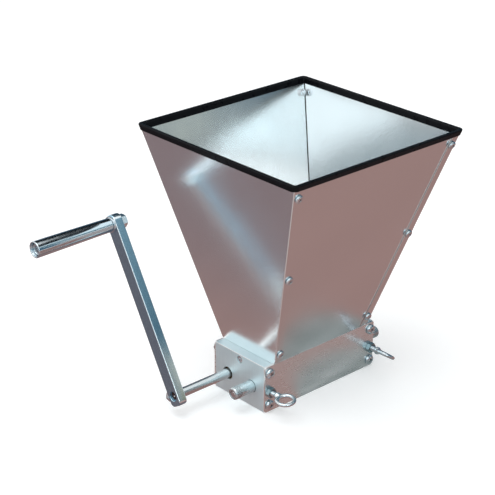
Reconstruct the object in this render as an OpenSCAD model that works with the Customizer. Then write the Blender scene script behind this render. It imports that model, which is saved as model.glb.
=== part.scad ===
// Hand cranked malt mill with two rollers under a sheet metal hopper, in millimetres.
// X runs along the rollers with the crank at -X, the plate with the eye bolts faces -Y, Z is up.
// The origin is the middle of the grain outlet, level with the underside of the end blocks.

/* [Rollers] */
// Diameter of both rollers over the knurl
roller_d = 35.4; // [30:0.2:42]
// Length of the knurled part of both rollers
roller_len = 133.4; // [110:0.2:180]
// Gap between the rollers with the adjusters in their middle setting
roller_gap = 1.4; // [1.2:0.1:2]
// Number of grooves round each roller
flute_count = 60; // [36:2:90]
// Depth of a groove
flute_depth = 0.6; // [0.3:0.1:1]
// Thickness of the thrust washers at the roller ends
washer_t = 1; // [0.6:0.1:2]
// Free play between two faces that turn past each other
end_play = 0.15; // [0.1:0.05:0.3]

/* [End blocks] */
// Thickness of each end block
block_t = 12; // [12:0.5:18]
// Space between a roller and the plate beside it in the middle setting
side_clear = 1.4; // [1.2:0.1:4]
// Space between the rollers and the surface that the mill stands on, at the lowest setting
foot_clear = 4.8; // [3:0.1:12]
// Height of the end blocks above the rollers, at the highest setting
head_room = 10.8; // [10:0.1:20]

/* [Plates] */
// Thickness of the front and back plates
plate_t = 2; // [1.5:0.1:3]
// Radius of the plates' corners
plate_corner_r = 2.5; // [1:0.1:4]
// Distance from a plate screw to the plate's top or bottom edge
plate_screw_edge = 8; // [7:0.1:9]
// Shank diameter of the plate screws
plate_screw_d = 5; // [4:0.5:5.5]
// Length of a plate screw under its head
plate_screw_len = 14; // [10:0.5:16]

/* [Drive shaft] */
// Diameter of the drive shaft
shaft_d = 10; // [8:0.5:11]
// Distance from the end block to the outer face of the crank arm
shaft_reach = 75; // [60:1:110]
// How far the shaft stops short of the crank arm's outer face
shaft_recess = 2; // [0.5:0.1:4]
// Outer diameter of the shaft's bearings
bush_d = 14; // [13:0.5:17]
// Length of the shaft's bearings
bush_len = 9; // [7:0.5:11]

/* [Gap adjusters] */
// Diameter of an adjuster's body
adjuster_d = 13; // [12.6:0.1:14]
// Distance by which the idle roller's bore is off the adjuster's own axis
eccentric = 1; // [0.5:0.1:1.1]
// Diameter of the idle roller's journals
journal_d = 8; // [6:0.5:8]
// How far an adjuster stands out of its end block
adjuster_reach = 26; // [20:0.5:32]
// Length of an adjuster's knurled head
adjuster_head_len = 12; // [8:0.5:15]
// Diameter of an adjuster's head over the knurl
adjuster_head_d = 13.6; // [13.2:0.1:15]

/* [Eye bolts] */
// Thread diameter of the eye bolts
eye_bolt_d = 6; // [5:0.5:6]
// Radius of an eye, from its middle to the middle of its wire
eye_r = 9.1; // [8:0.1:12]
// Thickness of an eye's wire
eye_wire_d = 4.2; // [3.5:0.1:5]
// Distance from the plate to the middle of an eye
eye_out = 24; // [22:0.5:32]
// Turn of the left eye about its shank, in degrees
left_eye_turn = -4; // [-90:1:90]
// Turn of the right eye about its shank, in degrees
right_eye_turn = 35; // [-90:1:90]
// Width over the flats of the lock nuts
lock_nut_af = 10; // [9:0.5:11]
// Thickness of the lock nuts
lock_nut_t = 5; // [3:0.1:6]

/* [Hopper] */
// Length over the rim trim, along the rollers
rim_x = 236; // [200:1:300]
// Depth over the rim trim
rim_y = 232; // [200:1:300]
// Height of the rim above the surface that the mill stands on
rim_z = 285; // [240:1:340]
// Thickness of the hopper's sheet metal
sheet_t = 1; // [0.8:0.1:1.2]
// Width of the flanges folded over the front and back panels
flange_w = 10; // [9:0.5:16]
// Distance from a hopper screw to the corner beside it
hopper_screw_in = 6.5; // [6:0.1:7]
// Height of the lowest hopper screws above the end blocks
low_screw_up = 13; // [10:0.5:20]
// Depth of the highest hopper screws below the rim
top_screw_down = 16; // [13:0.5:30]
// Shank diameter of the hopper screws
hopper_screw_d = 4; // [3:0.5:4]
// Width of the tabs that hold the hopper to the end blocks
tab_w = 50; // [30:1:60]
// Depth of the tab screws below the top of the end blocks
tab_screw_down = 6; // [5:0.1:7]

/* [Rim trim] */
// Width of the rubber trim
trim_w = 5; // [4.5:0.1:7]
// Height of the rubber trim
trim_h = 6; // [5:0.1:9]
// Outer radius of the trim's corners
trim_corner_r = 4; // [3:0.1:8]
// Thickness of the trim above the edge of the sheet
trim_top_t = 1.5; // [1:0.1:2.5]

/* [Crank] */
// Distance from the shaft to the handle
crank_r = 187; // [120:1:240]
// Lean of the crank towards the back, in degrees
crank_lean = 30.4; // [-180:0.1:180]
// Width of the crank arm
arm_w = 16.5; // [15:0.5:25]
// Thickness of the crank arm
arm_t = 10; // [8:0.5:12]
// Length of the crank arm beyond the shaft's axis
arm_low_end = 11; // [9:0.5:16]
// Length of the crank arm beyond the handle's axis
arm_high_end = 7.5; // [6.5:0.5:16]
// Radius of the crank arm's corners
arm_corner_r = 3.5; // [2:0.1:6]
// Thread diameter of the clamping screw
clamp_screw_d = 6; // [4:0.5:6]

/* [Handle] */
// Length of the turning grip
grip_len = 92.8; // [70:0.2:120]
// Diameter of the grip beside the crank arm
grip_near_d = 14.8; // [14:0.1:20]
// Diameter of the grip at its free end
grip_far_d = 17.6; // [17.4:0.1:24]
// Shank diameter of the handle bolt
handle_bolt_d = 8; // [6:0.5:8]
// Thickness of the washer between the grip and the crank arm
handle_washer_t = 2.2; // [1:0.1:3]

/* [Hidden] */
$fn = 64;

// Clearance at parts that stay put, at parts that turn, and round a screw in its hole
fit_clear = 0.02;
run_clear = 0.05;
screw_clear = 0.15;
// Overrun of every cut
cut = 0.5;

// Where the rollers' axes, the end blocks and the plates are
axis_y = (roller_d + roller_gap) / 2;
axis_z = foot_clear + eccentric + roller_d / 2;
inner_x = roller_len / 2 + 2 * end_play + washer_t;
outer_x = inner_x + block_t;
end_mid_x = inner_x + block_t / 2;
block_d = 2 * axis_y + roller_d + 2 * side_clear;
block_h = axis_z + eccentric + roller_d / 2 + head_room;
plate_y = block_d / 2 + plate_t;
drive_washer_d = 20;
idle_washer_d = 15;

// Pan heads and their cross recesses, as shares of the shank's diameter and of the head's height
pan_width_share = 1.9;
pan_height_share = 0.72;
pan_rim_share = 0.35;
cross_length_share = 1;
cross_width_share = 0.2;
cross_depth_share = 0.36;
// Turn of the cross recesses, in degrees
cross_turn = 25;
// Width of a nut's flat face as a share of its width over the corners
nut_face_share = 0.94;
// Width of a hexagon socket as a share of the screw's diameter
socket_share = 0.75;

// Adjusters: grooves and dished end of the head, and how deep the journal's end lies
adjuster_teeth = 36;
adjuster_knurl = 0.3;
adjuster_chamfer = 1.2;
adjuster_dish_d = 9.9;
adjuster_dish = 1.2;
journal_recess = 3;

// Eye bolts: where the tip meets the adjuster, and the collar under the eye
eye_tip_y = -axis_y - adjuster_d / 2 - run_clear;
eye_mid_y = -plate_y - eye_out;
collar_d = 8.6;
collar_t = 3;

// Screws that hold the hopper's tabs, their heads sunk in the end blocks
tab_screw_d = 4;
tab_head_d = 7;
tab_head_h = 4;
tab_recess_d = 8;
tab_recess = 5;
tab_nut_af = 7;
tab_nut_t = 3.2;
tab_screw_tail = 1;
tab_screw_z = block_h - tab_screw_down;
tab_len = head_room;

// Hopper: where the sheets' outer faces are at the blocks and at the rim, and how they lean
panel_step = 0.2;
side_low_x = inner_x;
side_top_x = rim_x / 2 - trim_w / 2 + sheet_t / 2;
front_low_y = plate_y - panel_step;
front_top_y = rim_y / 2 - trim_w / 2 - sheet_t / 2;
side_slope = (side_top_x - side_low_x) / (rim_z - block_h);
front_slope = (front_top_y - front_low_y) / (rim_z - block_h);
side_lean = atan(side_slope);
front_lean = atan(front_slope);
function side_x(z) = side_low_x + (z - block_h) * side_slope;
function front_y(z) = front_low_y + (z - block_h) * front_slope;
sheet_top_z = rim_z - trim_top_t;
seam_clear = 0.1;
flange_low_z = block_h + 1.5 * sheet_t;

// Hopper screws and nuts
hopper_screw_len = 6.5;
hopper_nut_af = 7;
hopper_nut_t = 3.2;
low_screw_z = block_h + low_screw_up;
top_screw_z = rim_z - top_screw_down;
hopper_screw_zs = [low_screw_z, (low_screw_z + top_screw_z) / 2, top_screw_z];

// Rim trim: inner radius, and its size at the bottom, where its walls have leant in
trim_inner_r = 1;
trim_low_x = rim_x - 2 * trim_h * side_slope;
trim_low_y = rim_y - 2 * trim_h * front_slope;

// Crank arm, clamping screw and the fittings at the handle
arm_out_x = -outer_x - shaft_reach;
arm_in_x = arm_out_x + arm_t;
clamp_head_af = 10;
clamp_head_t = 4;
handle_y = axis_y + crank_r * sin(crank_lean);
handle_z = axis_z + crank_r * cos(crank_lean);
handle_washer_d = 17;
handle_nut_af = 13;
handle_nut_t = 6.5;
bolt_tail = 1.5;
grip_near_x = arm_out_x - handle_washer_t - end_play;
grip_far_x = grip_near_x - grip_len;
handle_head_d = 13;
handle_head_h = 8;
grip_recess_d = 13.8;
grip_recess = 11;

// A cylinder along X between two places
module rod_x(x0, x1, d) {
    translate([x0, 0, 0])
        rotate([0, 90, 0]) cylinder(h = x1 - x0, d = d);
}

// A ring along X between two places
module ring_x(x0, x1, d, bore) {
    difference() {
        rod_x(x0, x1, d);
        rod_x(x0 - cut, x1 + cut, bore);
    }
}

// A cylinder along X with straight grooves all round
module fluted_x(x0, x1, d, count, depth) {
    step = 180 / count;
    points = [for (i = [0:2 * count - 1])
        let (r = d / 2 - (i % 2) * depth)
        [r * cos(i * step), r * sin(i * step)]];
    translate([x0, 0, 0]) rotate([90, 0, 90])
        linear_extrude(height = x1 - x0) polygon(points);
}

// A hexagon standing on Z = 0, its upper corners chamfered
module hex(af, h) {
    corner_d = af / cos(30);
    face_d = corner_d * nut_face_share;
    bevel = (corner_d - face_d) / 2;
    intersection() {
        cylinder(h = h, d = corner_d, $fn = 6);
        union() {
            cylinder(h = h - bevel, d = corner_d + fit_clear);
            translate([0, 0, h - bevel])
                cylinder(h = bevel, d1 = corner_d + fit_clear, d2 = face_d);
        }
    }
}

// A nut standing on Z = 0
module nut(af, h, bore) {
    difference() {
        hex(af, h);
        translate([0, 0, -cut]) cylinder(h = h + 2 * cut, d = bore);
    }
}

// A hexagon socket sunk from Z = 0 into a screw of the given diameter
module socket(d, depth) {
    translate([0, 0, -depth])
        cylinder(h = depth + cut, d = d * socket_share / cos(30), $fn = 6);
}

// A pan head screw: the head stands on Z = 0 and the shank hangs down
module pan_screw(d, len, turn) {
    head_d = d * pan_width_share;
    head_h = d * pan_height_share;
    dome_h = head_h - head_h * pan_rim_share;
    dome_r = (head_d * head_d / 4 + dome_h * dome_h) / (2 * dome_h);
    cross = [d * cross_length_share, d * cross_width_share, 2 * d * cross_depth_share];
    difference() {
        union() {
            translate([0, 0, -len]) cylinder(h = len, d = d);
            intersection() {
                cylinder(h = head_h, d = head_d);
                translate([0, 0, head_h - dome_r]) sphere(r = dome_r);
            }
        }
        for (quarter = [0, 90])
            translate([0, 0, head_h]) rotate([0, 0, turn + quarter]) cube(cross, center = true);
    }
}

// Repeats its children at both ends of the mill
module at_both_ends() {
    for (flip = [0, 1])
        mirror([flip, 0, 0]) children();
}

// Repeats its children at the front and at the back
module at_both_faces() {
    for (flip = [0, 1])
        mirror([0, flip, 0]) children();
}

// Places its children on the plate at the two front right screws, with Z pointing out
module at_plate_screws() {
    for (z = [plate_screw_edge, block_h - plate_screw_edge])
        translate([end_mid_x, -plate_y, z]) rotate([90, 0, 0]) children();
}

// Moves its children to the axis of the drive roller
module on_drive_axis() {
    translate([0, axis_y, axis_z]) children();
}

// Moves its children to the axis that the adjusters turn about
module on_adjuster_axis() {
    translate([0, -axis_y, axis_z]) children();
}

// Moves its children to the idle roller's axis, which hangs below the adjusters' axis
module on_idle_axis() {
    translate([0, -axis_y, axis_z - eccentric]) children();
}

// End block at +X, with the bores for the bearing, the adjuster, the eye bolt and the screws
module end_block() {
    color("#aab4bb") difference() {
        translate([inner_x, -block_d / 2, 0]) cube([block_t, block_d, block_h]);
        on_drive_axis() rod_x(inner_x - cut, outer_x + cut, bush_d + 2 * fit_clear);
        on_adjuster_axis() rod_x(inner_x - cut, outer_x + cut, adjuster_d + 2 * run_clear);
        translate([end_mid_x, -block_d / 2 - cut, axis_z]) rotate([-90, 0, 0])
            cylinder(h = block_d / 2 - axis_y + cut, d = eye_bolt_d + 2 * run_clear);
        translate([0, 0, tab_screw_z]) {
            rod_x(inner_x - cut, outer_x + cut, tab_screw_d + 2 * screw_clear);
            rod_x(outer_x - tab_recess, outer_x + cut, tab_recess_d);
        }
        at_both_faces() at_plate_screws() translate([0, 0, -plate_screw_len - cut])
            cylinder(h = plate_screw_len + cut, d = plate_screw_d + 2 * fit_clear);
    }
}

module right_end_block() {
    end_block();
}

module left_end_block() {
    mirror([1, 0, 0]) end_block();
}

// Plate on the front of both end blocks
module plate(eye_holes) {
    r = plate_corner_r;
    corner_x = outer_x - r;
    difference() {
        translate([0, -block_d / 2, 0]) rotate([90, 0, 0]) linear_extrude(height = plate_t) {
            translate([-corner_x, 0]) square([2 * corner_x, block_h]);
            translate([-outer_x, r]) square([2 * outer_x, block_h - 2 * r]);
            for (x = [-corner_x, corner_x], z = [r, block_h - r])
                translate([x, z]) circle(r = r);
        }
        at_both_ends() at_plate_screws() translate([0, 0, -plate_t - cut])
            cylinder(h = plate_t + 2 * cut, d = plate_screw_d + 2 * screw_clear);
        if (eye_holes)
            at_both_ends() translate([end_mid_x, -block_d / 2 + cut, axis_z]) rotate([90, 0, 0])
                cylinder(h = plate_t + 2 * cut, d = eye_bolt_d + 2 * screw_clear);
    }
}

module front_plate() {
    color("#a09a96") plate(true);
}

module back_plate() {
    color("#a09a96") mirror([0, 1, 0]) plate(false);
}

module plate_screws() {
    color("#c8ccd0") at_both_faces() at_both_ends() at_plate_screws()
        pan_screw(plate_screw_d, plate_screw_len, cross_turn);
}

// Plain bearing of the drive shaft, level with the inner face of its end block
module drive_bush() {
    color("#9c7a3c") on_drive_axis()
        ring_x(inner_x, inner_x + bush_len, bush_d, shaft_d + 2 * run_clear);
}

module drive_bush_right() {
    drive_bush();
}

module drive_bush_left() {
    mirror([1, 0, 0]) drive_bush();
}

// Knurled roller turned in one piece with the shaft that carries the crank
module drive_roller() {
    color("#8c8c8a") on_drive_axis() {
        fluted_x(-roller_len / 2, roller_len / 2, roller_d, flute_count, flute_depth);
        rod_x(arm_out_x + shaft_recess, inner_x + bush_len, shaft_d);
    }
}

// Thrust washer at the +X end of a roller
module thrust_washer(d, bore) {
    low_x = roller_len / 2 + end_play;
    ring_x(low_x, low_x + washer_t, d, bore);
}

module drive_washers() {
    color("#e6e4dc") at_both_ends() on_drive_axis()
        thrust_washer(drive_washer_d, shaft_d + 2 * fit_clear);
}

// Knurled roller whose journals run in the adjusters
module idle_roller() {
    journal_x = outer_x + adjuster_reach - journal_recess;
    color("#8c8c8a") on_idle_axis() {
        fluted_x(-roller_len / 2, roller_len / 2, roller_d, flute_count, flute_depth);
        rod_x(-journal_x, journal_x, journal_d);
    }
}

module idle_washers() {
    color("#e6e4dc") at_both_ends() on_idle_axis()
        thrust_washer(idle_washer_d, journal_d + 2 * fit_clear);
}

// Eccentric bearing of the idle roller, turned by its knurled head
module adjuster() {
    end_x = outer_x + adjuster_reach;
    head_x = end_x - adjuster_head_len;
    bevel_x = end_x - adjuster_chamfer;
    root_d = adjuster_head_d - 2 * adjuster_knurl;
    color("#b4bcc0") on_adjuster_axis() difference() {
        union() {
            rod_x(inner_x, head_x + cut, adjuster_d);
            fluted_x(head_x, bevel_x, adjuster_head_d, adjuster_teeth, adjuster_knurl);
            translate([bevel_x, 0, 0]) rotate([0, 90, 0])
                cylinder(h = adjuster_chamfer, d1 = root_d, d2 = root_d - 2 * adjuster_chamfer);
        }
        translate([0, 0, -eccentric])
            rod_x(inner_x - cut, end_x + cut, journal_d + 2 * run_clear);
        rod_x(end_x - adjuster_dish, end_x + cut, adjuster_dish_d);
    }
}

module adjuster_right() {
    adjuster();
}

module adjuster_left() {
    mirror([1, 0, 0]) adjuster();
}

// Eye bolt about X = 0, whose tip clamps the adjuster behind the plate
module eye_bolt(turn) {
    collar_y = eye_mid_y + eye_r + collar_t;
    color("#b8c0c6") translate([0, 0, axis_z]) {
        translate([0, eye_tip_y, 0]) rotate([90, 0, 0])
            cylinder(h = eye_tip_y - eye_mid_y - eye_r, d = eye_bolt_d);
        translate([0, collar_y, 0]) rotate([90, 0, 0])
            cylinder(h = collar_t, d = collar_d);
        translate([0, eye_mid_y, 0]) rotate([0, turn, 0])
            rotate_extrude() translate([eye_r, 0]) circle(d = eye_wire_d);
    }
}

module eye_bolt_left() {
    translate([-end_mid_x, 0, 0]) eye_bolt(left_eye_turn);
}

module eye_bolt_right() {
    translate([end_mid_x, 0, 0]) eye_bolt(right_eye_turn);
}

// Lock nut of an eye bolt at X = 0, just off the front plate
module lock_nut() {
    color("#b8c0c6") translate([0, -plate_y - run_clear, axis_z]) rotate([90, 0, 0])
        nut(lock_nut_af, lock_nut_t, eye_bolt_d + 2 * run_clear);
}

module lock_nut_left() {
    translate([-end_mid_x, 0, 0]) lock_nut();
}

module lock_nut_right() {
    translate([end_mid_x, 0, 0]) lock_nut();
}

// Places its children on the outer face of the front panel at a height: Z climbs the panel,
// -Y points out of it
module on_front(z) {
    translate([0, -front_y(z), z]) rotate([front_lean, 0, 0]) children();
}

// Places its children on the outer face of the left panel at a height: Z climbs the panel,
// -X points out of it
module on_left(z) {
    translate([-side_x(z), 0, z]) rotate([0, -side_lean, 0]) children();
}

// Flat front sheet between the side panels, fattened by grow on every side
module front_sheet(grow) {
    climb = (sheet_top_z - block_h) / cos(front_lean);
    seam = sheet_t / cos(side_lean) + seam_clear - grow;
    low_w = side_x(block_h) - seam;
    top_w = side_x(sheet_top_z) - seam;
    outline = [[-low_w, 0], [low_w, 0], [top_w, climb + grow], [-top_w, climb + grow]];
    on_front(block_h) translate([0, sheet_t + grow, 0]) rotate([90, 0, 0])
        linear_extrude(height = sheet_t + 2 * grow) polygon(outline);
}

// Flange of the left panel, folded over the outside of the front sheet
module front_flange(grow) {
    climb = (sheet_top_z - flange_low_z) / cos(front_lean);
    low_w = side_x(flange_low_z);
    top_w = side_x(sheet_top_z);
    outline = [[-low_w - grow, 0], [-low_w + flange_w + grow, 0],
        [-top_w + flange_w + grow, climb + grow], [-top_w - grow, climb + grow]];
    on_front(flange_low_z) translate([0, grow, 0]) rotate([90, 0, 0])
        linear_extrude(height = sheet_t + 2 * grow) polygon(outline);
}

// Flat sheet of the left side, as wide as the outsides of its flanges
module left_sheet(grow) {
    climb = (sheet_top_z - block_h) / cos(side_lean);
    seam = sheet_t / cos(front_lean) + grow;
    low_w = front_y(block_h) + seam;
    top_w = front_y(sheet_top_z) + seam;
    outline = [[-low_w, 0], [low_w, 0], [top_w, climb + grow], [-top_w, climb + grow]];
    on_left(block_h) translate([-grow, 0, 0]) rotate([90, 0, 90])
        linear_extrude(height = sheet_t + 2 * grow) polygon(outline);
}

// Places its children on the front panel at the left corner's screws, with Z pointing out
module at_corner_screws() {
    for (z = hopper_screw_zs)
        on_front(z) translate([-side_x(z) + hopper_screw_in, 0, 0]) rotate([90, 0, 0]) children();
}

// Holes for the left corner's screws, through the flange and the front sheet
module corner_screw_holes() {
    at_corner_screws() translate([0, 0, -sheet_t - cut])
        cylinder(h = 2 * sheet_t + 2 * cut, d = hopper_screw_d + 2 * screw_clear);
}

// Left side panel with its two flanges and the tab that goes down inside the end block
module side_panel() {
    color("#8e8784") difference() {
        union() {
            left_sheet(0);
            at_both_faces() front_flange(0);
            translate([-inner_x, -tab_w / 2, block_h - tab_len])
                cube([sheet_t, tab_w, tab_len + sheet_t / 2]);
        }
        at_both_faces() corner_screw_holes();
        translate([0, 0, tab_screw_z])
            rod_x(-inner_x - cut, -inner_x + sheet_t + cut, tab_screw_d + 2 * screw_clear);
    }
}

module hopper_left_panel() {
    side_panel();
}

module hopper_right_panel() {
    mirror([1, 0, 0]) side_panel();
}

module front_panel() {
    color("#968c88") difference() {
        front_sheet(0);
        at_both_ends() corner_screw_holes();
    }
}

module hopper_front_panel() {
    front_panel();
}

module hopper_back_panel() {
    mirror([0, 1, 0]) front_panel();
}

module hopper_screws() {
    color("#c8ccd0") at_both_ends() at_both_faces() at_corner_screws()
        translate([0, 0, sheet_t]) pan_screw(hopper_screw_d, hopper_screw_len, cross_turn);
}

module hopper_nuts() {
    color("#c8ccd0") at_both_ends() at_both_faces() at_corner_screws()
        translate([0, 0, -sheet_t]) rotate([180, 0, 0])
            nut(hopper_nut_af, hopper_nut_t, hopper_screw_d + 2 * fit_clear);
}

// Socket head screws through the end blocks into the hopper's tabs
module hopper_fixing_screws() {
    seat_x = outer_x - tab_recess;
    tail_x = inner_x - sheet_t - tab_nut_t - tab_screw_tail;
    color("#9aa0a4") at_both_ends() translate([0, 0, tab_screw_z]) {
        rod_x(tail_x, seat_x + cut, tab_screw_d);
        translate([seat_x + tab_head_h, 0, 0]) rotate([0, 90, 0]) difference() {
            translate([0, 0, -tab_head_h]) cylinder(h = tab_head_h, d = tab_head_d);
            socket(tab_screw_d, tab_head_h / 2);
        }
    }
}

module hopper_fixing_nuts() {
    color("#9aa0a4") at_both_ends() translate([inner_x - sheet_t, 0, tab_screw_z])
        rotate([0, -90, 0]) nut(tab_nut_af, tab_nut_t, tab_screw_d + 2 * fit_clear);
}

// A rectangle with round corners, about the middle
module round_rect(w, d, r) {
    square([w - 2 * r, d], center = true);
    square([w, d - 2 * r], center = true);
    for (x = [-w / 2 + r, w / 2 - r], y = [-d / 2 + r, d / 2 - r])
        translate([x, y]) circle(r = r, $fn = 32);
}

// Rubber edge trim over the top of the sheets, its walls leaning with them
module rim_trim() {
    side_grow = rim_x / trim_low_x;
    front_grow = rim_y / trim_low_y;
    color("#1b1c1e") difference() {
        translate([0, 0, rim_z - trim_h])
            linear_extrude(height = trim_h, scale = [side_grow, front_grow], slices = 1) difference() {
                round_rect(trim_low_x, trim_low_y, trim_corner_r);
                round_rect(trim_low_x - 2 * trim_w, trim_low_y - 2 * trim_w, trim_inner_r);
            }
        at_both_faces() front_sheet(run_clear);
        at_both_ends() left_sheet(run_clear);
        at_both_ends() at_both_faces() front_flange(run_clear);
    }
}

// Moves its children to the shaft's axis, with Z along the crank arm
module on_crank() {
    on_drive_axis() rotate([-crank_lean, 0, 0]) children();
}

// Moves its children to the handle's axis, with Z along the crank arm
module on_handle() {
    on_crank() translate([0, 0, crank_r]) children();
}

module crank_arm() {
    high = crank_r + arm_high_end;
    color("#9aa6ac") difference() {
        on_crank() translate([arm_out_x, 0, (high - arm_low_end) / 2]) rotate([90, 0, 90])
            linear_extrude(height = arm_t) round_rect(arm_w, high + arm_low_end, arm_corner_r);
        on_crank() rod_x(arm_out_x - cut, arm_in_x + cut, shaft_d + 2 * fit_clear);
        on_handle() rod_x(arm_out_x - cut, arm_in_x + cut, handle_bolt_d + 2 * fit_clear);
        on_crank() translate([arm_out_x + arm_t / 2, 0, 0]) rotate([-90, 0, 0])
            cylinder(h = arm_w, d = clamp_screw_d + 2 * fit_clear);
    }
}

// Hexagon head screw that clamps the arm on the shaft, from the back of the arm
module clamp_screw() {
    color("#c2c8cc") on_crank() translate([arm_out_x + arm_t / 2, 0, 0]) rotate([-90, 0, 0]) {
        translate([0, 0, shaft_d / 2 + fit_clear])
            cylinder(h = arm_w / 2 - shaft_d / 2 + cut, d = clamp_screw_d);
        translate([0, 0, arm_w / 2 + fit_clear]) hex(clamp_head_af, clamp_head_t);
    }
}

// Bolt that the grip turns on, its head sunk in the grip's free end
module handle_bolt() {
    seat_x = grip_far_x + grip_recess - end_play;
    color("#9a9ea2") on_handle() {
        rod_x(seat_x - cut, arm_in_x + handle_nut_t + bolt_tail, handle_bolt_d);
        translate([seat_x - handle_head_h, 0, 0]) rotate([0, -90, 0]) difference() {
            translate([0, 0, -handle_head_h]) cylinder(h = handle_head_h, d = handle_head_d);
            socket(handle_bolt_d, handle_head_h / 2);
        }
    }
}

module handle_nut() {
    color("#c2c8cc") on_handle() translate([arm_in_x, 0, 0]) rotate([0, 90, 0])
        nut(handle_nut_af, handle_nut_t, handle_bolt_d + 2 * fit_clear);
}

module handle_washer() {
    color("#c2c8cc") on_handle()
        ring_x(arm_out_x - handle_washer_t, arm_out_x, handle_washer_d, handle_bolt_d + 2 * fit_clear);
}

// Tapered steel grip with a hollow free end
module handle_grip() {
    color("#9fabb2") on_handle() difference() {
        translate([grip_far_x, 0, 0]) rotate([0, 90, 0])
            cylinder(h = grip_len, d1 = grip_far_d, d2 = grip_near_d);
        rod_x(grip_far_x - cut, grip_near_x + cut, handle_bolt_d + 2 * run_clear);
        rod_x(grip_far_x - cut, grip_far_x + grip_recess, grip_recess_d);
    }
}

left_end_block();
right_end_block();
front_plate();
back_plate();
plate_screws();
drive_bush_left();
drive_bush_right();
drive_roller();
drive_washers();
idle_roller();
idle_washers();
adjuster_left();
adjuster_right();
eye_bolt_left();
eye_bolt_right();
lock_nut_left();
lock_nut_right();
hopper_left_panel();
hopper_right_panel();
hopper_front_panel();
hopper_back_panel();
hopper_screws();
hopper_nuts();
hopper_fixing_screws();
hopper_fixing_nuts();
rim_trim();
crank_arm();
clamp_screw();
handle_bolt();
handle_nut();
handle_washer();
handle_grip();
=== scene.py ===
"""A hand cranked malt mill on a pale floor: two end blocks, two rollers, a folded hopper and a crank.

In metres: X runs along the rollers with the crank at -X, the front faces -Y and Z is up.
"""

import math

import bmesh
import bpy
from mathutils import Matrix, Vector


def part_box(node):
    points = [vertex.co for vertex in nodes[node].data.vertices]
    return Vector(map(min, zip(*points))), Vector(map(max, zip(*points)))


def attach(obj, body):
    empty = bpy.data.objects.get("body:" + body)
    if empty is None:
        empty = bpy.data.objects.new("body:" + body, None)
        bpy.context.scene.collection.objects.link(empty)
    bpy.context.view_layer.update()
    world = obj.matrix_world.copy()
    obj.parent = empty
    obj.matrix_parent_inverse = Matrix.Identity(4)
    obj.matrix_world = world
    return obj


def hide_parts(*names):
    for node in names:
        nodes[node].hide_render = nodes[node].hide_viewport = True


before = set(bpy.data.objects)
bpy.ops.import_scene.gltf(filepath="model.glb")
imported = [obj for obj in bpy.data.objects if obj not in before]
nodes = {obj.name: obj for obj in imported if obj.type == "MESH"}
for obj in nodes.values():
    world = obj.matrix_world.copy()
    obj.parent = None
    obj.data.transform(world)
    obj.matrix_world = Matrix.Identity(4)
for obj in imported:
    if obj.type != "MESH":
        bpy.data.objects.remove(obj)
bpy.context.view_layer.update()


# End blocks. Two pieces of aluminium bar, 12 mm thick, that carry everything else. They are milled
# to a fine satin and their edges are broken. Each is bored for the drive shaft's bush and for an
# adjuster, and has a recess for the head of the screw that holds the hopper's tab.
mm = 0.001


def eased(points, radius, steps=3, closed=True):
    """An outline or profile with its corners rounded to a radius."""
    result = []
    for index, point in enumerate(points):
        here = Vector(point)
        if not closed and index in (0, len(points) - 1):
            result.append(here)
            continue
        before = Vector(points[index - 1]) - here
        after = Vector(points[(index + 1) % len(points)]) - here
        half = before.angle(after) / 2
        cut = min(radius / math.tan(half), 0.49 * before.length, 0.49 * after.length)
        start, end = before.normalized() * cut, after.normalized() * cut
        middle = (start + end).normalized() * cut / math.cos(half)
        for step in range(steps + 1):
            across = (start - middle).lerp(end - middle, step / steps)
            result.append(here + middle + across.normalized() * (start - middle).length)
    return result


def circle(x, y, radius, count=64):
    """A round outline."""
    turns = [math.tau * index / count for index in range(count)]
    return [Vector((x + radius * math.cos(a), y + radius * math.sin(a))) for a in turns]


def oblong(x0, y0, x1, y1):
    """A rectangular outline between two corners."""
    return [(x0, y0), (x1, y0), (x1, y1), (x0, y1)]


def area(points):
    """Twice the area inside an outline, positive where it runs anticlockwise."""
    return sum(a[0] * b[1] - b[0] * a[1] for a, b in zip(points, points[1:] + points[:1]))


def placed(name, data):
    """A new object in the scene."""
    made = bpy.data.objects.new(name, data)
    bpy.context.collection.objects.link(made)
    return made


def settled(thing):
    """The mesh that an object's modifiers give. The object itself goes."""
    graph = bpy.context.evaluated_depsgraph_get()
    mesh = bpy.data.meshes.new_from_object(thing.evaluated_get(graph))
    bpy.data.objects.remove(thing)
    return mesh


def slab(outlines, low, high, edge):
    """Sheet or bar cut to the first outline, with the others as holes, its edges eased."""
    curve = bpy.data.curves.new("slab", "CURVE")
    curve.dimensions = "2D"
    curve.fill_mode = "BOTH"
    curve.extrude = (high - low) / 2 - edge
    curve.bevel_depth = edge
    curve.bevel_resolution = 2
    curve.offset = -edge
    for index, outline in enumerate(outlines):
        if (area(outline) > 0) == (index > 0):
            outline = outline[::-1]
        spline = curve.splines.new("POLY")
        spline.points.add(len(outline) - 1)
        for point, place in zip(spline.points, outline):
            point.co = (place[0], place[1], 0, 1)
        spline.use_cyclic_u = True
    holder = bpy.data.objects.new("slab", curve)
    mesh = bpy.data.meshes.new_from_object(holder)
    bpy.data.objects.remove(holder)
    bm = bmesh.new()
    bm.from_mesh(mesh)
    bmesh.ops.remove_doubles(bm, verts=bm.verts, dist=0.002 * mm)
    bmesh.ops.translate(bm, verts=bm.verts, vec=(0, 0, (low + high) / 2))
    return to_mesh(bm)


def bridge(bm, lower, upper):
    """Joins two rings of as many vertices by a band of faces."""
    for k in range(len(lower)):
        past = (k + 1) % len(lower)
        bm.faces.new((lower[k], lower[past], upper[past], upper[k]))


def to_mesh(bm):
    """Puts a finished bmesh into a mesh, with its faces turned outwards."""
    mesh = bpy.data.meshes.new("part")
    bmesh.ops.recalc_face_normals(bm, faces=bm.faces)
    bm.to_mesh(mesh)
    bm.free()
    return mesh


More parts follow.
